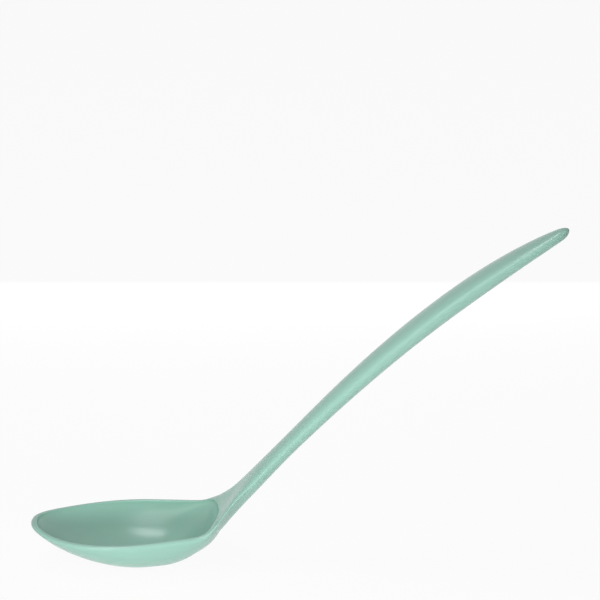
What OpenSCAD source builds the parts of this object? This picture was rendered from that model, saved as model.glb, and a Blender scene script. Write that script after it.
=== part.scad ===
// Serving spoon, one moulding: a deep oval bowl that runs through a keeled neck
// into a long arched handle with a leaf-shaped end.

/* [Bowl] */
// Length from the tip of the bowl to its deepest station, along the rim
bowl_front_l = 61.2; // [54:0.2:68]
// Length from the deepest station to the back of the hollow
hollow_back_l = 35.8; // [31:0.2:40]
// Length from the deepest station to where the bowl's outline turns in to the neck
shoulder_start_l = 28.1; // [22:0.1:33]
// Length from the deepest station to where the outline has reached the neck
shoulder_end_l = 51.6; // [45:0.2:58]
// Length from the deepest station to the heel, where the underside reaches the neck
heel_l = 32; // [28:0.5:38]
// Width across the rim at the deepest station
bowl_w = 58.4; // [50:0.2:68]
// Depth from the rim line to the lowest point of the underside
bowl_depth = 20.2; // [16:0.2:26]
// Thickness of the bowl's wall and width of its rounded rim
wall = 2.6; // [2:0.1:3.4]
// Height of the rim's edge above the rim line
rim_h = 1.6; // [1:0.1:2.4]
// Thickness of the moulding under the back of the hollow
back_wall = 4; // [3:0.1:5.5]
// Turn of the rim from its outer side over to the edge of the hollow, in degrees
rim_turn_angle = 105; // [95:1:150]

/* [Neck] */
// Length from the deepest station to where the rim begins to turn up
bend_start_l = 20.6; // [14:0.2:27]
// Length of the bend in which the rim turns up into the handle
bend_l = 15.3; // [9:0.1:22]
// Length from the deepest station to the neck, where the handle begins to widen
neck_l = 55; // [50:1:62]
// Length over which the root of the handle narrows to the neck
root_fade_l = 54; // [40:1:70]
// Width of the handle at its root
root_w = 22; // [17:0.2:26]
// Depth of the keel under the root
root_keel_h = 6.9; // [6:0.1:10]
// Width of the neck
neck_w = 14.8; // [11:0.2:18]
// Depth of the keel under the neck
neck_keel_h = 5.9; // [5:0.1:8]
// Length from the deepest station to where the neck's flanks are most hollow
flank_l = 42; // [38:1:48]
// Length over which the hollow of the flanks fades on each side
flank_fade_l = 12; // [8:0.5:14]

/* [Handle] */
// Length of the handle from the neck to its end, along its edge
handle_l = 210.7; // [160:0.1:240]
// Width of the handle at its widest station
handle_w = 19; // [15:0.5:26]
// Height of the handle's crown above its edge
crown_h = 4; // [2.5:0.1:6]
// Depth of the handle's underside below its edge
belly_h = 6.6; // [3:0.1:9]
// Length of the rounded end
end_round_l = 5.2; // [3:0.1:12]

/* [Pose] */
// Slope of the rim line before the tip of the bowl sweeps up, in degrees
rim_angle = 1.8; // [0:0.1:5]
// Slope of the rim line at the shoulders, in degrees
shoulder_angle = 3.65; // [0:0.05:9]
// Upward sweep of the rim at the tip of the bowl, in degrees
tip_sweep_angle = 19.7; // [0:0.1:26]
// Slope of the handle where it leaves the bowl, in degrees
handle_rise_angle = 47.4; // [30:0.1:55]
// Slope of the handle at its end, in degrees
handle_end_angle = 28.1; // [20:0.1:45]

/* [Hidden] */
melamine = "#A3D3C2";

// Shares and powers that set the run of the lines
front_fullness_share = 0.37;
back_round_share = 0.024;
front_round_power = 0.88;
tip_sweep_power = 5.7;
hollow_back_power = 8;
rim_edge_power = 5;
heel_power = 2.67;
heel_fade_power = 1.35;
handle_sweep_power = 2.02;
leaf_power = 2.7;
widest_share = 0.67;
end_height_share = 0.46;

// Powers of the section's underside: 1 is an ellipse, 2 a parabola, and past 2 the
// sides are hollow. The flank power is added where the neck's flanks are most hollow
side_power = 1.27;
tip_power = 2.08;
root_power = 1.3;
flank_power = 2.2;
handle_power = 1;

// Counts of stations along the spoon and of points round a section
front_steps = 22;
back_steps = 18;
neck_steps = 14;
handle_steps = 44;
under_steps = 11;
crest_steps = 4;
hollow_steps = 11;
track_steps = 400;

// The spoon's edge line in side view, walked in short steps from the tip to the end
total_l = neck_l + handle_l;
track_l = bowl_front_l + total_l;
track_step = track_l / track_steps;
bend_end_l = bend_start_l + bend_l;
function limit(t) = min(max(t, 0), 1);
function ease(t) = (1 - cos(180 * limit(t))) / 2;
function mix(a, b, t) = a + (b - a) * t;
function rim_slope(s) = let (t = (s + bowl_front_l) / (bowl_front_l + bend_start_l))
    mix(rim_angle, shoulder_angle, t) - tip_sweep_angle * pow(limit(1 - t), tip_sweep_power);
function handle_slope(s) = let (t = limit((s - bend_end_l) / (total_l - bend_end_l)))
    mix(handle_rise_angle, handle_end_angle, pow(t, handle_sweep_power));
function slope(s) = mix(rim_slope(s), handle_slope(s), ease((s - bend_start_l) / bend_l));
track_s = [for (i = [0:track_steps]) i * track_step - bowl_front_l];
track_x = [for (i = 0, x = 0; i <= track_steps;
    x = x + track_step * cos(slope(track_s[i] + track_step / 2)), i = i + 1) x];
track_z = [for (i = 0, z = 0; i <= track_steps;
    z = z + track_step * sin(slope(track_s[i] + track_step / 2)), i = i + 1) z];
x_table = [for (i = [0:track_steps]) [track_s[i], track_x[i]]];
z_table = [for (i = [0:track_steps]) [track_s[i], track_z[i]]];

// A point y to the side of the edge line and h square to it, at the length s
function place(s, y, h) = let (a = slope(s))
    [lookup(s, x_table) - h * sin(a), y, lookup(s, z_table) + h * cos(a)];

// Half the width, the crown above the edge line and the keel below it
widest_s = neck_l + widest_share * handle_l;
function leaf(s) = limit((s - widest_s) / (total_l - widest_s));
function root_fade(s) = 1 - ease((s - hollow_back_l) / root_fade_l);
function swell(s) = ease((s - neck_l) / (widest_s - neck_l));
function end_close(s) = let (t = limit((s - total_l + end_round_l) / end_round_l))
    sqrt(1 - t * t) * (1 - (1 - end_height_share) * pow(leaf(s), 2));
function handle_half_w(s) = sqrt(1 - pow(leaf(s), leaf_power)) / 2
    * (neck_w + (root_w - neck_w) * root_fade(s) + (handle_w - neck_w) * swell(s));
function handle_keel(s) = end_close(s)
    * (neck_keel_h + (root_keel_h - neck_keel_h) * root_fade(s) + (belly_h - neck_keel_h) * swell(s));
function crown(s) = end_close(s) * mix(rim_h, crown_h, swell(s));
function bowl_half_w(s) = bowl_w / 2
    * (1 - front_fullness_share * s / bowl_front_l - back_round_share * pow(s / hollow_back_l, 2));
function half_w(s) = let (t = ease((s - shoulder_start_l) / (shoulder_end_l - shoulder_start_l)))
    mix(bowl_half_w(s), handle_half_w(s), t);
function heel(s) = pow(1 - pow(limit(s / heel_l), heel_power), heel_fade_power);
function keel(s) = s <= 0 ? bowl_depth : mix(handle_keel(s), bowl_depth, heel(s));
function hollow_power(s) = mix(mix(side_power, root_power, ease(s / neck_l)), handle_power, swell(s));
function under_power(s) = hollow_power(s) + flank_power * exp(-pow((s - flank_l) / flank_fade_l, 2));

// Stations: a fan of half sections round the front of the bowl, then ribs across its
// back, the neck and the handle
hollow_end = front_steps + back_steps;
neck_end = hollow_end + neck_steps;
last = neck_end + handle_steps;
function turn(i) = 90 * i / front_steps;
function station(i) =
    i <= front_steps ? -bowl_front_l * cos(turn(i))
    : i <= hollow_end ? hollow_back_l * sin(90 * (i - front_steps) / back_steps)
    : i <= neck_end ? mix(hollow_back_l, neck_l, (i - hollow_end) / neck_steps)
    : mix(neck_l, total_l, sin(90 * (i - neck_end) / handle_steps));
function front_power(i) = mix(side_power, tip_power, pow(cos(turn(i)), 2));
function front_half_w(i) = half_w(0) * pow(sin(turn(i)), front_round_power)
    * (1 + front_fullness_share * cos(turn(i)) * (1 - cos(turn(i))));
function edge_w(i) = i < front_steps ? front_half_w(i) : i == last ? 0 : half_w(station(i));

// The hollow's edge lies one wall inside the rim and closes at the back of the hollow. The
// hollow rises steeply to its edge, which is the rim's highest line
function hollow_s(i) = i < front_steps ? station(i) * (1 - wall / bowl_front_l) : station(i);
function hollow_close(s) = sqrt(1 - pow(limit(s / hollow_back_l), hollow_back_power));
function hollow_half_w(s) = (half_w(s) - wall) * hollow_close(s);
function hollow_w(i) =
    i < front_steps ? front_half_w(i) * (1 - wall / half_w(0))
    : i < hollow_end ? hollow_half_w(station(i))
    : 0;
function hollow_rise(c) = crown(0) * sin(rim_turn_angle) * pow(1 - c, rim_edge_power);
function hollow_h(s, y) =
    let (c = sqrt(1 - limit(pow(y == 0 ? 0 : y / hollow_half_w(s), 2))), close = hollow_close(s))
    hollow_rise(c * close)
        - (keel(s) - mix(wall, back_wall, s / hollow_back_l)) * close * pow(c, hollow_power(s));

// The three runs of points of a section, each from the near side (-1) or the far side (1)
function under_point(i, j) = let (g = sin(90 * j / under_steps), c = cos(90 * j / under_steps))
    i < front_steps ? place(station(i) * abs(g), edge_w(i) * g, -bowl_depth * pow(c, front_power(i)))
    : place(station(i), edge_w(i) * g, -keel(station(i)) * pow(c, under_power(station(i))));
function arch(i) = mix(rim_turn_angle, 90, ease((station(i) - hollow_back_l) / (2 * wall)));
function crest_point(i, k, side) =
    let (a = arch(i), t = a * k / crest_steps, share = (cos(t) - cos(a)) / (1 - cos(a)))
    place(mix(hollow_s(i), station(i), share), side * mix(hollow_w(i), edge_w(i), share),
        crown(station(i)) * sin(t));
function hollow_point(i, k, side) =
    i > hollow_end ? crest_point(i, crest_steps, 1)
    : k == 0 ? crest_point(i, crest_steps, side)
    : let (g = cos(90 * k / hollow_steps), c = sin(90 * k / hollow_steps),
        s = hollow_s(i) * g, y = side * hollow_w(i) * g)
    place(s, y, i >= front_steps ? hollow_h(s, y)
        : hollow_rise(c) - (bowl_depth - wall) * pow(c, front_power(i)));
function section(i) = concat(
    [for (j = [-under_steps:under_steps]) under_point(i, j)],
    [for (k = [1:crest_steps]) crest_point(i, k, 1)],
    [for (k = [1:hollow_steps]) hollow_point(i, k, 1)],
    [for (k = [hollow_steps - 1:-1:0]) hollow_point(i, k, -1)],
    [for (k = [crest_steps - 1:-1:1]) crest_point(i, k, -1)]);
hollow_first = 2 * under_steps + crest_steps;
hollow_last = hollow_first + 2 * hollow_steps;
round_steps = hollow_last + crest_steps;

// The lowest point of the underside is the origin
underside = [for (i = [0:hollow_end], j = [0:under_steps]) under_point(i, j)];
low_z = min([for (p = underside) p[2]]);
low_x = [for (p = underside) if (p[2] == low_z) p[0]][0];

// A closed solid through the sections from one station to another, flat where it is cut
module loft(from, to) {
    points = [for (i = [from:to]) each section(i)];
    function cap_centre(i) = place(station(i), 0, (crown(station(i)) - keel(station(i))) / 2);
    function at(i, j) = (i - from) * round_steps + j % round_steps;
    start_centre = len(points);
    skin = [for (i = [from:to - 1], j = [0:round_steps - 1])
        if (i < hollow_end || j < hollow_first || j >= hollow_last)
            each [[at(i, j), at(i + 1, j), at(i, j + 1)], [at(i + 1, j), at(i + 1, j + 1), at(i, j + 1)]]];
    start_cap = from == 0 ? [] : [for (j = [0:round_steps - 1]) [at(from, j), at(from, j + 1), start_centre]];
    end_cap = to == last ? [] : [for (j = [0:round_steps - 1]) [at(to, j + 1), at(to, j), start_centre + 1]];
    translate([-low_x, 0, -low_z])
        polyhedron(points = concat(points, [cap_centre(from), cap_centre(to)]),
            faces = concat(skin, start_cap, end_cap));
}

// The bowl, from its tip to the neck
module bowl() {
    color(melamine) loft(0, neck_end);
}

// The handle, from the neck to its end
module handle() {
    color(melamine) loft(neck_end, last);
}

bowl();
handle();
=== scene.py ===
# A moulded melamine serving spoon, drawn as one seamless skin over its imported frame, and its studio.

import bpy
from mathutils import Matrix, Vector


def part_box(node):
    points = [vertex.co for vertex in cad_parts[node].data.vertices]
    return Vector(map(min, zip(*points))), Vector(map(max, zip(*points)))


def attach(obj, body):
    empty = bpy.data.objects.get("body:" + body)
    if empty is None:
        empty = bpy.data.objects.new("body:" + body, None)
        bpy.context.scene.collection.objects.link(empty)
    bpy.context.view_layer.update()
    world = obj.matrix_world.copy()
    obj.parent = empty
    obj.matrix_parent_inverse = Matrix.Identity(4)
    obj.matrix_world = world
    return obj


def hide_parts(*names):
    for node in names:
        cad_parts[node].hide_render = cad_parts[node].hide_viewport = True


bl_info = {
    "name": "Serving Spoon",
    "version": (1, 0, 0),
    "blender": (4, 5, 0),
    "location": "3D View > Sidebar > Spoon",
    "description": "Builds a moulded melamine serving spoon and a plain studio round it",
    "category": "Add Mesh",
}

import math
from bisect import bisect_right

import bmesh
import bpy
from bpy.props import FloatProperty, FloatVectorProperty, IntProperty, PointerProperty
from mathutils import Matrix, Vector

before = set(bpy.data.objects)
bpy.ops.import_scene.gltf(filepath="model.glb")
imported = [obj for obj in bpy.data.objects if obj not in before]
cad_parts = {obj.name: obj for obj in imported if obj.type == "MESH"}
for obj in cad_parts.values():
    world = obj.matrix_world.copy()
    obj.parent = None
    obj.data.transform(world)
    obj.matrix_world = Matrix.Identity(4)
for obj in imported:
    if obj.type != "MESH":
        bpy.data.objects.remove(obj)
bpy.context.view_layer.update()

PIECE = "spoon"
NODES = ("bowl", "handle")
MM = 0.001
WELD = 0.001 * MM
PICTURE_PX = 600
FLOOR_REACH = 6.0
FLOOR_ROUGHNESS = 0.8

# Wall thicknesses behind the hollow over which the turned rim becomes a plain quarter round
RIM_FADE_WALLS = 2

BOWL_AIM = (0.03, 0.0, 0.03)
SPOON_AIM = (0.08, 0.0, 0.07)

# Name, place, aim, width, height, name of its power in the setup, whether it shows in the gloss
LAMPS = (
    ("front_strip", (0.03, -0.42, 0.055), BOWL_AIM, 0.55, 0.09, "front_power", False),
    ("rear_strip", (0.03, 0.42, 0.055), BOWL_AIM, 0.55, 0.09, "rear_power", False),
    ("tall_softbox", (-0.353, -0.693, 0.806), SPOON_AIM, 0.45, 1.0, "tall_power", True),
    ("overhead_softbox", (-0.205, 0.0, 1.13), SPOON_AIM, 0.35, 0.35, "overhead_power", True),
    ("back_softbox", (-0.05, 0.29, 1.116), SPOON_AIM, 0.45, 0.3, "back_power", True),
)


# Properties of the panel

def length(name, about, millimetres):
    return FloatProperty(name=name, description=about, default=millimetres * MM, min=0.0,
                         precision=4, unit="LENGTH", subtype="DISTANCE")


def angle(name, about, degrees):
    return FloatProperty(name=name, description=about, default=math.radians(degrees),
                         unit="ROTATION", subtype="ANGLE")


def share(name, about, value):
    return FloatProperty(name=name, description=about, default=value, min=0.0, max=1.0,
                         subtype="FACTOR")


def power(name, about, value):
    return FloatProperty(name=name, description=about, default=value, min=0.1)


def count(name, about, value):
    return IntProperty(name=name, description=about, default=value, min=4)


def number(name, about, value):
    return FloatProperty(name=name, description=about, default=value, min=0.0)


def watts(name, about, value):
    return FloatProperty(name=name, description=about, default=value, min=0.0, unit="POWER")


def colour(name, about, value):
    return FloatVectorProperty(name=name, description=about, default=value, size=3, min=0.0, max=1.0,
                               subtype="COLOR")


class SpoonShape(bpy.types.PropertyGroup):
    """Sizes of the moulding"""

    bowl_front: length("Bowl Front", "Length from the tip of the bowl to its deepest station", 61.2)
    hollow_back: length("Hollow Back", "Length from the deepest station to the back of the hollow", 35.8)
    shoulder_start: length("Shoulder Start", "Length to where the bowl turns in to the neck", 28.1)
    shoulder_end: length("Shoulder End", "Length to where the outline has reached the neck", 51.6)
    heel: length("Heel", "Length from the deepest station to the heel of the underside", 32)
    bowl_width: length("Bowl Width", "Width across the rim at the deepest station", 58.4)
    bowl_depth: length("Bowl Depth", "Depth from the rim line to the underside's lowest point", 20.2)
    wall: length("Wall", "Thickness of the bowl's wall and of its rounded rim", 2.6)
    rim_height: length("Rim Height", "Height of the rim's edge above the rim line", 1.6)
    back_wall: length("Back Wall", "Thickness of the moulding under the back of the hollow", 4)
    bend_start: length("Bend Start", "Length to where the rim begins to turn up into the handle", 20.6)
    bend: length("Bend", "Length of the bend in which the rim turns up into the handle", 15.3)
    neck: length("Neck", "Length from the deepest station to the neck", 55)
    root_fade: length("Root Fade", "Length over which the root of the handle narrows to the neck", 54)
    root_width: length("Root Width", "Width of the handle at its root", 22)
    root_keel: length("Root Keel", "Depth of the keel under the root", 6.9)
    neck_width: length("Neck Width", "Width of the neck", 14.8)
    neck_keel: length("Neck Keel", "Depth of the keel under the neck", 5.9)
    flank_place: length("Flank Place", "Length to where the neck's flanks are most hollow", 42)
    flank_length: length("Flank Length", "Length over which the flanks' hollow fades each way", 12)
    trough_depth: length("Trough Depth", "Depth of the trough from the hollow up the neck", 1.6)
    trough_front: length("Trough Front", "Length over which the trough fades toward the bowl", 13)
    trough_back: length("Trough Back", "Length over which the trough fades toward the handle", 17)
    handle_length: length("Handle Length", "Length of the handle from the neck to its end", 210.7)
    handle_width: length("Handle Width", "Width of the handle at its widest station", 19)
    crown: length("Crown", "Height of the handle's crown above its edge", 4)
    belly: length("Belly", "Depth of the handle's underside below its edge", 6.6)
    end_round: length("End Round", "Length of the rounded end", 5.2)
    edge_drop: length("Edge Drop", "Drop of the widest line of the handle's lower half", 0.9)
    drop_start: length("Drop Start", "Length to where the widest line begins to drop", 42)
    drop_full: length("Drop Full", "Length to where it is lowest", 75)
    drop_fade: length("Drop Fade", "Length to where it begins to rise again", 120)
    drop_end: length("Drop End", "Length to where it is back on the edge line", 195)
    rim_tilt: angle("Rim Tilt", "Slope of the rim line before the bowl's tip sweeps up", 1.8)
    rim_turn: angle("Rim Turn", "Turn of the rim from its outer side over to the hollow's edge", 105)
    shoulder_slope: angle("Shoulder Slope", "Slope of the rim line at the shoulders", 3.65)
    tip_sweep: angle("Tip Sweep", "Upward sweep of the rim at the tip of the bowl", 19.7)
    handle_rise: angle("Handle Rise", "Slope of the handle where it leaves the bowl", 47.4)
    handle_end_slope: angle("Handle End Slope", "Slope of the handle at its end", 28.1)
    front_fullness: share("Front Fullness", "How far the front of the bowl swells past an ellipse", 0.37)
    back_round: share("Back Round", "How far the bowl's outline rounds in toward its back", 0.024)
    ridge_round: share("Ridge Round", "How far the neck's ridges are rounded into its flanks", 0.35)
    trough_width: share("Trough Width", "Width of the trough, of the width there", 0.88)
    widest: share("Widest Station", "Place of the handle's widest station along the handle", 0.67)
    end_height: share("End Height", "Height at the handle's end, of its height where widest", 0.46)
    crown_gain: power("Crown Gain", "Height that the crown gains, for each unit of the drop", 1.55)
    keel_loss: power("Keel Loss", "Depth that the keel loses, for each unit of the drop", 1.1)
    front_round: power("Front Round", "Power that rounds the tip of the bowl in plan", 0.88)
    tip_sweep_power: power("Tip Sweep Power", "Power of the rim's sweep toward the tip", 5.7)
    rim_edge_power: power("Rim Edge Power", "Power of the hollow's rise to its edge", 5)
    hollow_back_power: power("Hollow Back Power", "Power of the hollow's outline at its back", 14)
    hollow_end_power: power("Hollow End Power", "Power of the rise of the hollow's floor to its back", 3)
    trough_power: power("Trough Power", "Power of the trough's section", 1.3)
    heel_power: power("Heel Power", "Power of the underside's run to the heel", 2.67)
    heel_fade_power: power("Heel Fade Power", "Power of the underside's blend into the neck", 1.35)
    handle_sweep_power: power("Handle Sweep Power", "Power of the handle's change of slope", 2.02)
    leaf_power: power("Leaf Power", "Power of the outline of the handle's end", 2.7)
    side_power: power("Side Power", "Power of the bowl's section at its sides", 1.27)
    tip_power: power("Tip Power", "Power of the bowl's section at its tip", 2.08)
    root_power: power("Root Power", "Power of the section at the root of the handle", 1.3)
    flank_power: power("Flank Power", "Power added where the neck's flanks are hollow", 2.2)
    handle_power: power("Handle Power", "Power of the section of the handle", 1)
    front_steps: count("Front Steps", "Half sections round the front", 48)
    back_steps: count("Back Steps", "Sections across the back", 40)
    neck_steps: count("Neck Steps", "Sections across the neck", 24)
    handle_steps: count("Handle Steps", "Sections across the handle", 110)
    under_steps: count("Under Steps", "Faces from keel to rim", 26)
    crest_steps: count("Crest Steps", "Faces over the rim", 10)
    hollow_steps: count("Hollow Steps", "Faces from rim to hollow floor", 26)


class MelamineFinish(bpy.types.PropertyGroup):
    """Looks of the melamine"""

    tone: colour("Tone", "Colour of the melamine", (0.35, 0.63, 0.52))
    cloud: colour("Cloud", "Tone of the resin's faint paler clouds", (0.376, 0.66, 0.555))
    gloss_low: share("Roughness Low", "Roughness where the moulding is polished", 0.2)
    gloss_high: share("Roughness High", "Roughness where the moulding is handled", 0.28)
    gloss_size: length("Gloss Patch Size", "Size of the patches of more and less polish", 12)
    index: number("Refraction", "Index of refraction of the resin", 1.5)
    cloud_size: length("Cloud Size", "Size of the clouds in the resin", 24)
    peel_size: length("Peel Size", "Size of the ripples of the moulded surface", 2.2)
    peel_height: length("Peel Height", "Height of the ripples of the moulded surface", 0.0015)


class StudioSetup(bpy.types.PropertyGroup):
    """Camera, lamps and floor"""

    camera_elevation: angle("Camera Elevation", "Height of the camera above the rim's level", 20)
    camera_distance: length("Camera Distance", "Distance from the camera to the point it looks at", 1500)
    focal_px: number("Focal Length", "Focal length in pixels of the picture", 3045)
    look_x: length("Look X", "Place of the point that the camera looks at, along the spoon", 82.7)
    look_z: length("Look Z", "Height of the point that the camera looks at", 141)
    ambient: number("Ambient", "Strength of the studio's even light", 0.05)
    front_power: watts("Front Power", "Power of the low strip light in front", 1.2)
    rear_power: watts("Rear Power", "Power of the low strip light behind", 0.6)
    tall_power: watts("Tall Power", "Power of the tall softbox in the front corner", 3.4)
    overhead_power: watts("Overhead Power", "Power of the softbox over the bowl", 2.7)
    back_power: watts("Back Power", "Power of the softbox high behind", 0.2)
    floor_tone: colour("Floor Tone", "Colour of the floor", (0.9, 0.9, 0.9))
    floor_white: share("Floor White", "Share of plain white in the floor, as it is seen", 0.94)


# Lines that the moulding is drawn on

def limit(t):
    """t held between 0 and 1"""
    return min(max(t, 0.0), 1.0)


def ease(t):
    """Smooth rise from 0 to 1 while t does"""
    return (1 - math.cos(math.pi * limit(t))) / 2


def mix(a, b, t):
    """a where t is 0, b where it is 1"""
    return a + (b - a) * t


class SpoonLines:
    """Every line of the spoon at the length s along its edge line, zero at the deepest station"""

    TRACK_STEPS = 4000

    def __init__(self, shape):
        self.p = p = shape
        self.total = p.neck + p.handle_length
        self.bend_end = p.bend_start + p.bend
        self.widest_s = p.neck + p.widest * p.handle_length
        self.track_step = (p.bowl_front + self.total) / self.TRACK_STEPS
        self.walk()

    def walk(self):
        """Side view of the edge line, walked in short steps from the tip to the end"""
        x = z = 0.0
        self.track_s, self.track_x, self.track_z = [], [], []
        for i in range(self.TRACK_STEPS + 1):
            s = i * self.track_step - self.p.bowl_front
            self.track_s.append(s)
            self.track_x.append(x)
            self.track_z.append(z)
            a = self.slope(s + self.track_step / 2)
            x += self.track_step * math.cos(a)
            z += self.track_step * math.sin(a)

    def rim_slope(self, s):
        """Slope of the rim, nearly level and swept up at the tip"""
        p = self.p
        t = (s + p.bowl_front) / (p.bowl_front + p.bend_start)
        return mix(p.rim_tilt, p.shoulder_slope, t) - p.tip_sweep * limit(1 - t) ** p.tip_sweep_power

    def handle_slope(self, s):
        """Slope of the handle, steep at the bowl and flatter toward the end"""
        p = self.p
        t = limit((s - self.bend_end) / (self.total - self.bend_end))
        return mix(p.handle_rise, p.handle_end_slope, t ** p.handle_sweep_power)

    def slope(self, s):
        """Slope of the edge line, which is the rim's, then turns up into the handle's"""
        return mix(self.rim_slope(s), self.handle_slope(s), ease((s - self.p.bend_start) / self.p.bend))

    def drop(self, s):
        """How far the widest line lies below the edge line"""
        p = self.p
        rise = ease((s - p.drop_start) / (p.drop_full - p.drop_start))
        return p.edge_drop * rise * (1 - ease((s - p.drop_fade) / (p.drop_end - p.drop_fade)))

    def place(self, s, y, h):
        """Point y to the side of the middle plane and h over the widest line, square to the edge line"""
        h -= self.drop(s)
        i = min(max(bisect_right(self.track_s, s) - 1, 0), self.TRACK_STEPS - 1)
        t = (s - self.track_s[i]) / self.track_step
        a = self.slope(s)
        return Vector((mix(self.track_x[i], self.track_x[i + 1], t) - h * math.sin(a), y,
                       mix(self.track_z[i], self.track_z[i + 1], t) + h * math.cos(a)))

    def leaf(self, s):
        """0 at the handle's widest station, 1 at its end"""
        return limit((s - self.widest_s) / (self.total - self.widest_s))

    def root(self, s):
        """1 at the back of the hollow, 0 where the root has narrowed"""
        return 1 - ease((s - self.p.hollow_back) / self.p.root_fade)

    def swell(self, s):
        """0 at the neck, 1 at the handle's widest station"""
        return ease((s - self.p.neck) / (self.widest_s - self.p.neck))

    def end_close(self, s):
        """Share of the height that is kept toward the rounded end"""
        p = self.p
        t = limit((s - self.total + p.end_round) / p.end_round)
        return math.sqrt(1 - t * t) * (1 - (1 - p.end_height) * self.leaf(s) ** 2)

    def handle_half_width(self, s):
        p = self.p
        width = p.neck_width + (p.root_width - p.neck_width) * self.root(s) \
            + (p.handle_width - p.neck_width) * self.swell(s)
        return math.sqrt(1 - self.leaf(s) ** p.leaf_power) * width / 2

    def handle_keel(self, s):
        """Depth of the underside below the widest line, at the neck and the handle"""
        p = self.p
        depth = p.neck_keel + (p.root_keel - p.neck_keel) * self.root(s) \
            + (p.belly - p.neck_keel) * self.swell(s)
        return self.end_close(s) * depth - p.keel_loss * self.drop(s)

    def crown(self, s):
        """Height of the rim or of the handle's top above the widest line"""
        p = self.p
        height = mix(p.rim_height, p.crown, self.swell(s))
        return self.end_close(s) * height + p.crown_gain * self.drop(s)

    def bowl_half_width(self, s):
        p = self.p
        narrowed = p.front_fullness * s / p.bowl_front + p.back_round * (s / p.hollow_back) ** 2
        return p.bowl_width / 2 * (1 - narrowed)

    def half_width(self, s):
        p = self.p
        t = ease((s - p.shoulder_start) / (p.shoulder_end - p.shoulder_start))
        return mix(self.bowl_half_width(s), self.handle_half_width(s), t)

    def keel(self, s):
        """Depth of the underside below the widest line, from the bowl to the handle's end"""
        p = self.p
        if s <= 0:
            return p.bowl_depth
        heel = (1 - limit(s / p.heel) ** p.heel_power) ** p.heel_fade_power
        return mix(self.handle_keel(s), p.bowl_depth, heel)

    def hollow_power(self, s):
        """Power of the section's curve in the hollow"""
        p = self.p
        return mix(mix(p.side_power, p.root_power, ease(s / p.neck)), p.handle_power, self.swell(s))

    def under_power(self, s):
        """The same underneath, where the neck's flanks are hollow"""
        p = self.p
        flank = math.exp(-((s - p.flank_place) / p.flank_length) ** 2)
        return self.hollow_power(s) + p.flank_power * flank

    def under_depth(self, s, c):
        """Share of the keel's depth, from 1 at the middle to 0 at the edge as c does,
        rounded toward the ridges where the flanks are hollow"""
        p = self.p
        rounded = p.ridge_round * (1 - self.hollow_power(s) / self.under_power(s))
        return mix(c ** self.under_power(s), c, rounded)

    def hollow_close(self, s):
        """Share of its width that the hollow keeps toward its back"""
        return math.sqrt(1 - limit(s / self.p.hollow_back) ** self.p.hollow_back_power)

    def hollow_end_rise(self, s):
        """Share of its depth that the hollow keeps toward its back"""
        return 1 - limit(s / self.p.hollow_back) ** self.p.hollow_end_power

    def hollow_half_width(self, s):
        return (self.half_width(s) - self.p.wall) * self.hollow_close(s)

    def trough(self, s, y):
        """Depth of the trough y to the side of the middle"""
        p = self.p
        edge = p.trough_width * self.half_width(s)
        if y >= edge:
            return 0.0
        fade = p.trough_front if s < p.hollow_back else p.trough_back
        along = math.exp(-((s - p.hollow_back) / fade) ** 2)
        return p.trough_depth * along * (1 - (y / edge) ** 2) ** p.trough_power

    def place_top(self, s, y, h):
        """The same as place for the upper side, with the trough taken off"""
        return self.place(s, y, h - self.trough(s, y))

    def hollow_rise(self, c):
        """Height of the hollow's edge over its wall, which falls away inward as c grows"""
        return self.crown(0) * math.sin(self.p.rim_turn) * (1 - c) ** self.p.rim_edge_power

    def hollow_height(self, s, y):
        """Height of the hollow's surface over the widest line, behind the deepest station"""
        p = self.p
        c = math.sqrt(1 - limit((y / self.hollow_half_width(s)) ** 2 if y else 0.0))
        close = self.hollow_end_rise(s)
        wall = mix(p.wall, p.back_wall, s / p.hollow_back)
        return self.hollow_rise(c * close) - (self.keel(s) - wall) * close * c ** self.hollow_power(s)


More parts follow.
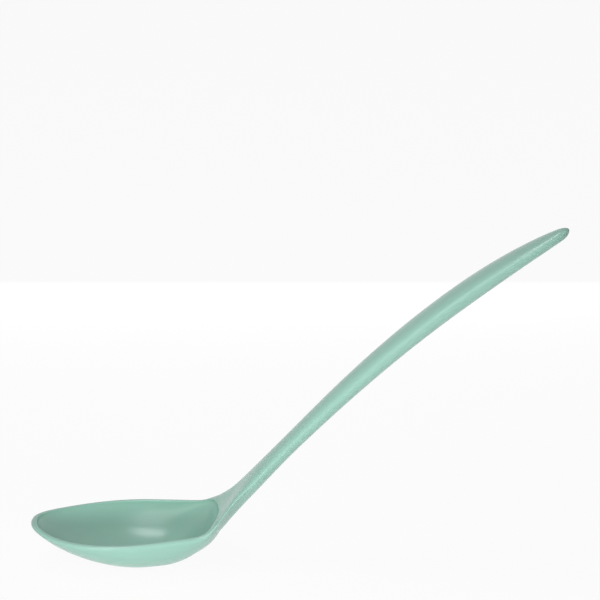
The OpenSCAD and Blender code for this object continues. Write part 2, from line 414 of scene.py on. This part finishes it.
class SpoonGrid:
    """Far half of the spoon's skin as rows of stations, from the tip to the end, and columns
    that run from the keel over the rim into the hollow or up to the crown"""

    def __init__(self, shape):
        self.p = p = shape
        self.lines = SpoonLines(shape)
        self.front = p.front_steps
        self.hollow_end = p.front_steps + p.back_steps
        self.neck_end = self.hollow_end + p.neck_steps
        self.last = self.neck_end + p.handle_steps
        self.rim_first = p.under_steps
        self.rim_last = p.under_steps + p.crest_steps
        self.columns = self.rim_last + p.hollow_steps

    def turn(self, i):
        """Angle of a section round the front, from the tip to the deepest station"""
        return math.pi / 2 * i / self.front

    def station(self, i):
        """Length along the edge line at row i, with the rows closer toward a rounded end"""
        p = self.p
        if i <= self.front:
            return -p.bowl_front * math.cos(self.turn(i))
        if i <= self.hollow_end:
            return p.hollow_back * math.sin(math.pi / 2 * (i - self.front) / p.back_steps)
        if i <= self.neck_end:
            return mix(p.hollow_back, p.neck, (i - self.hollow_end) / p.neck_steps)
        along = math.sin(math.pi / 2 * (i - self.neck_end) / p.handle_steps)
        return mix(p.neck, self.lines.total, along)

    def front_half_width(self, i):
        """Half width of the outline at a row in front of the deepest station"""
        p, c = self.p, math.cos(self.turn(i))
        fullness = 1 + p.front_fullness * c * (1 - c)
        return self.lines.half_width(0) * math.sin(self.turn(i)) ** p.front_round * fullness

    def front_power(self, i):
        """Power of the section that runs from the deepest station to the front's edge"""
        return mix(self.p.side_power, self.p.tip_power, math.cos(self.turn(i)) ** 2)

    def edge(self, i):
        """Length along the spoon and half width of the outline"""
        if i < self.front:
            return self.station(i), self.front_half_width(i)
        return self.station(i), 0.0 if i == self.last else self.lines.half_width(self.station(i))

    def hollow_edge(self, i):
        """The same for the hollow, whose edge lies one wall inside the outline"""
        p, s = self.p, self.station(i)
        if i < self.front:
            inner_width = 1 - p.wall / self.lines.half_width(0)
            return s * (1 - p.wall / p.bowl_front), self.front_half_width(i) * inner_width
        return s, self.lines.hollow_half_width(s) if i < self.hollow_end else 0.0

    def under_point(self, i, t):
        """Point of the underside, where t is 0 on the keel and 1 on the outline"""
        s, w = self.edge(i)
        g, c = math.sin(math.pi / 2 * t), math.cos(math.pi / 2 * t)
        if i < self.front:
            return self.lines.place(s * g, w * g, -self.p.bowl_depth * c ** self.front_power(i))
        return self.lines.place(s, w * g, -self.lines.keel(s) * self.lines.under_depth(s, c))

    def crest_point(self, i, t):
        """Point of the rim or of the handle's top, where t is 0 on the outline"""
        s, w = self.edge(i)
        hollow_s, hollow_w = self.hollow_edge(i)
        behind = (s - self.p.hollow_back) / (RIM_FADE_WALLS * self.p.wall)
        a = mix(self.p.rim_turn, math.pi / 2, ease(behind))
        across = (math.cos(a * t) - math.cos(a)) / (1 - math.cos(a))
        return self.lines.place_top(mix(hollow_s, s, across), mix(hollow_w, w, across),
                                    self.lines.crown(s) * math.sin(a * t))

    def hollow_point(self, i, t):
        """Point of the hollow, where t is 0 on its edge and 1 at the deepest station"""
        if i > self.hollow_end:
            return self.crest_point(i, 1)
        s, w = self.hollow_edge(i)
        g = 0.0 if t == 1 else math.cos(math.pi / 2 * t)
        c = math.sin(math.pi / 2 * t)
        if i < self.front:
            floor = (self.p.bowl_depth - self.p.wall) * c ** self.front_power(i)
            return self.lines.place_top(s * g, w * g, self.lines.hollow_rise(c) - floor)
        return self.lines.place_top(s * g, w * g, self.lines.hollow_height(s * g, w * g))

    def point(self, i, j):
        """Point of the skin at row i and column j"""
        if j <= self.rim_first:
            return self.under_point(i, j / self.p.under_steps)
        if j <= self.rim_last:
            return self.crest_point(i, (j - self.rim_first) / self.p.crest_steps)
        return self.hollow_point(i, (j - self.rim_last) / self.p.hollow_steps)


# Mesh of the spoon

def corners(points):
    """Lowest and highest corner of a box round the points"""
    return (Vector(min(p[k] for p in points) for k in range(3)),
            Vector(max(p[k] for p in points) for k in range(3)))


def fit_to_frame(bm):
    """Draws the skin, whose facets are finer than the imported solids', into the box of their outline"""
    boxes = [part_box(node) for node in NODES]
    low, high = corners([corner for box in boxes for corner in box])
    skin_low, skin_high = corners([vert.co for vert in bm.verts])
    for vert in bm.verts:
        for k in range(3):
            across = (vert.co[k] - skin_low[k]) / (skin_high[k] - skin_low[k])
            vert.co[k] = mix(low[k], high[k], across)


def spoon_mesh(shape):
    """A flat grid is laid over half of the spoon, mirrored and welded to one closed skin"""
    grid = SpoonGrid(shape)
    bm = bmesh.new()
    bmesh.ops.create_grid(bm, x_segments=grid.last, y_segments=grid.columns, size=1.0)
    for vert in bm.verts:
        i = round((vert.co.x + 1) / 2 * grid.last)
        j = round((vert.co.y + 1) / 2 * grid.columns)
        vert.co = grid.point(i, j)
    # Behind the hollow its columns meet on the middle plane, where their faces would be a thin web
    web = [face for face in bm.faces if all(abs(vert.co.y) < WELD for vert in face.verts)]
    bmesh.ops.delete(bm, geom=web, context="FACES")
    bmesh.ops.mirror(bm, geom=bm.verts[:] + bm.edges[:] + bm.faces[:], matrix=Matrix.Identity(4),
                     merge_dist=WELD, axis="Y")
    bmesh.ops.remove_doubles(bm, verts=bm.verts[:], dist=WELD)
    bmesh.ops.recalc_face_normals(bm, faces=bm.faces[:])
    fit_to_frame(bm)
    for face in bm.faces:
        face.smooth = True
    mesh = bpy.data.meshes.new(PIECE)
    bm.to_mesh(mesh)
    bm.free()
    return mesh


# Material of the spoon

def noise(nodes, links, coordinates, size, detail):
    """Noise texture whose features have the given size"""
    node = nodes.new("ShaderNodeTexNoise")
    node.inputs["Scale"].default_value = 1.0 / size
    node.inputs["Detail"].default_value = detail
    links.new(coordinates, node.inputs["Vector"])
    return node


def melamine_material(finish):
    """Satin melamine with faint clouds of tone, patches of polish and fine ripples"""
    material = bpy.data.materials.new("satin_melamine")
    material.use_nodes = True
    nodes, links = material.node_tree.nodes, material.node_tree.links
    shader = nodes["Principled BSDF"]
    place = nodes.new("ShaderNodeTexCoord").outputs["Object"]

    clouds = noise(nodes, links, place, finish.cloud_size, detail=3.0)
    tone = nodes.new("ShaderNodeMix")
    tone.data_type = "RGBA"
    tone.inputs["A"].default_value = (*finish.tone, 1.0)
    tone.inputs["B"].default_value = (*finish.cloud, 1.0)
    links.new(clouds.outputs["Fac"], tone.inputs["Factor"])
    links.new(tone.outputs["Result"], shader.inputs["Base Color"])

    gloss = nodes.new("ShaderNodeMapRange")
    gloss.inputs["To Min"].default_value = finish.gloss_low
    gloss.inputs["To Max"].default_value = finish.gloss_high
    patches = noise(nodes, links, place, finish.gloss_size, detail=6.0)
    links.new(patches.outputs["Fac"], gloss.inputs["Value"])
    links.new(gloss.outputs["Result"], shader.inputs["Roughness"])

    bump = nodes.new("ShaderNodeBump")
    bump.inputs["Distance"].default_value = finish.peel_height
    bump.inputs["Strength"].default_value = 1.0
    ripples = noise(nodes, links, place, finish.peel_size, detail=1.0)
    links.new(ripples.outputs["Fac"], bump.inputs["Height"])
    links.new(bump.outputs["Normal"], shader.inputs["Normal"])
    shader.inputs["IOR"].default_value = finish.index
    return material


class SPOON_OT_add_moulding(bpy.types.Operator):
    """Build the spoon's moulding and its melamine"""

    bl_idname = "spoon.add_moulding"
    bl_label = "Add Moulding"

    def execute(self, context):
        mesh = spoon_mesh(context.scene.spoon_shape)
        mesh.materials.append(melamine_material(context.scene.spoon_finish))
        spoon = bpy.data.objects.new(PIECE, mesh)
        context.scene.collection.objects.link(spoon)
        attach(spoon, "root")
        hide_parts(*NODES)
        return {"FINISHED"}


# Studio

def add_lamp(name, place, aim, width, height, strength, in_gloss):
    """Softbox that faces its aim and that the camera doesn't see"""
    light = bpy.data.lights.new(name, "AREA")
    light.shape = "RECTANGLE"
    light.size = width
    light.size_y = height
    light.energy = strength
    obj = bpy.data.objects.new(name, light)
    obj.location = place
    obj.rotation_euler = (Vector(aim) - Vector(place)).to_track_quat("-Z", "Y").to_euler()
    obj.visible_camera = False
    obj.visible_glossy = in_gloss
    bpy.context.scene.collection.objects.link(obj)


def seen_rays(nodes, links):
    """1 for a ray from the camera or from a gloss or clear surface"""
    path = nodes.new("ShaderNodeLightPath")
    seen = path.outputs["Is Camera Ray"]
    for name in ("Is Glossy Ray", "Is Transmission Ray"):
        either = nodes.new("ShaderNodeMath")
        either.operation = "MAXIMUM"
        links.new(seen, either.inputs[0])
        links.new(path.outputs[name], either.inputs[1])
        seen = either.outputs["Value"]
    return seen


def set_world(setup):
    """Even light that is dim on the spoon's colour and white to the camera and in the gloss"""
    world = bpy.data.worlds.new("studio")
    world.use_nodes = True
    bpy.context.scene.world = world
    nodes, links = world.node_tree.nodes, world.node_tree.links
    strength = nodes.new("ShaderNodeMapRange")
    strength.inputs["To Min"].default_value = setup.ambient
    strength.inputs["To Max"].default_value = 1.0
    links.new(seen_rays(nodes, links), strength.inputs["Value"])
    background = nodes["Background"]
    background.inputs["Color"].default_value = (1.0, 1.0, 1.0, 1.0)
    links.new(strength.outputs["Result"], background.inputs["Strength"])


def floor_material(setup):
    """Pale floor, mixed with plain white where it is seen, so that a faint shadow stays"""
    material = bpy.data.materials.new("pale_floor")
    material.use_nodes = True
    nodes, links = material.node_tree.nodes, material.node_tree.links
    shader = nodes["Principled BSDF"]
    shader.inputs["Base Color"].default_value = (*setup.floor_tone, 1.0)
    shader.inputs["Roughness"].default_value = FLOOR_ROUGHNESS
    shader.inputs["Specular IOR Level"].default_value = 0.0
    white = nodes.new("ShaderNodeEmission")
    blend = nodes.new("ShaderNodeMixShader")
    amount = nodes.new("ShaderNodeMath")
    amount.operation = "MULTIPLY"
    amount.inputs[1].default_value = setup.floor_white
    links.new(seen_rays(nodes, links), amount.inputs[0])
    links.new(amount.outputs["Value"], blend.inputs["Fac"])
    links.new(shader.outputs["BSDF"], blend.inputs[1])
    links.new(white.outputs["Emission"], blend.inputs[2])
    links.new(blend.outputs["Shader"], nodes["Material Output"].inputs["Surface"])
    return material


def add_floor(setup):
    bm = bmesh.new()
    bmesh.ops.create_grid(bm, x_segments=1, y_segments=1, size=FLOOR_REACH)
    mesh = bpy.data.meshes.new("floor")
    bm.to_mesh(mesh)
    bm.free()
    mesh.materials.append(floor_material(setup))
    floor = bpy.data.objects.new("floor", mesh)
    bpy.context.scene.collection.objects.link(floor)


def add_camera(setup):
    """Camera that looks at the spoon's side from a little above"""
    camera = bpy.data.objects.new("camera", bpy.data.cameras.new("camera"))
    bpy.context.scene.collection.objects.link(camera)
    camera.data.lens = setup.focal_px / PICTURE_PX * camera.data.sensor_width
    look_at = Vector((setup.look_x, 0.0, setup.look_z))
    back = Vector((0.0, -math.cos(setup.camera_elevation), math.sin(setup.camera_elevation)))
    camera.location = look_at + back * setup.camera_distance
    camera.rotation_euler = (math.pi / 2 - setup.camera_elevation, 0.0, 0.0)
    bpy.context.scene.camera = camera


class SPOON_OT_set_stage(bpy.types.Operator):
    """Set the floor, the lamps and the camera"""

    bl_idname = "spoon.set_stage"
    bl_label = "Set Stage"

    def execute(self, context):
        setup = context.scene.spoon_studio
        set_world(setup)
        add_floor(setup)
        for name, place, aim, width, height, strength, in_gloss in LAMPS:
            add_lamp(name, place, aim, width, height, getattr(setup, strength), in_gloss)
        add_camera(setup)
        context.scene.view_settings.view_transform = "Standard"
        return {"FINISHED"}


class SPOON_PT_panel(bpy.types.Panel):
    """Sizes, looks and studio of the spoon, and the steps that build them"""

    bl_idname = "SPOON_PT_panel"
    bl_label = "Serving Spoon"
    bl_space_type = "VIEW_3D"
    bl_region_type = "UI"
    bl_category = "Spoon"

    def draw(self, context):
        scene = context.scene
        for settings in (scene.spoon_shape, scene.spoon_finish, scene.spoon_studio):
            box = self.layout.box()
            for name in settings.__annotations__:
                box.prop(settings, name)
        self.layout.operator(SPOON_OT_add_moulding.bl_idname)
        self.layout.operator(SPOON_OT_set_stage.bl_idname)


CLASSES = (SpoonShape, MelamineFinish, StudioSetup,
           SPOON_OT_add_moulding, SPOON_OT_set_stage, SPOON_PT_panel)


def register():
    for cls in CLASSES:
        bpy.utils.register_class(cls)
    bpy.types.Scene.spoon_shape = PointerProperty(type=SpoonShape)
    bpy.types.Scene.spoon_finish = PointerProperty(type=MelamineFinish)
    bpy.types.Scene.spoon_studio = PointerProperty(type=StudioSetup)


def unregister():
    del bpy.types.Scene.spoon_studio
    del bpy.types.Scene.spoon_finish
    del bpy.types.Scene.spoon_shape
    for cls in reversed(CLASSES):
        bpy.utils.unregister_class(cls)


def main():
    register()
    bpy.ops.spoon.add_moulding()
    bpy.ops.spoon.set_stage()


if __name__ == "__main__":
    main()
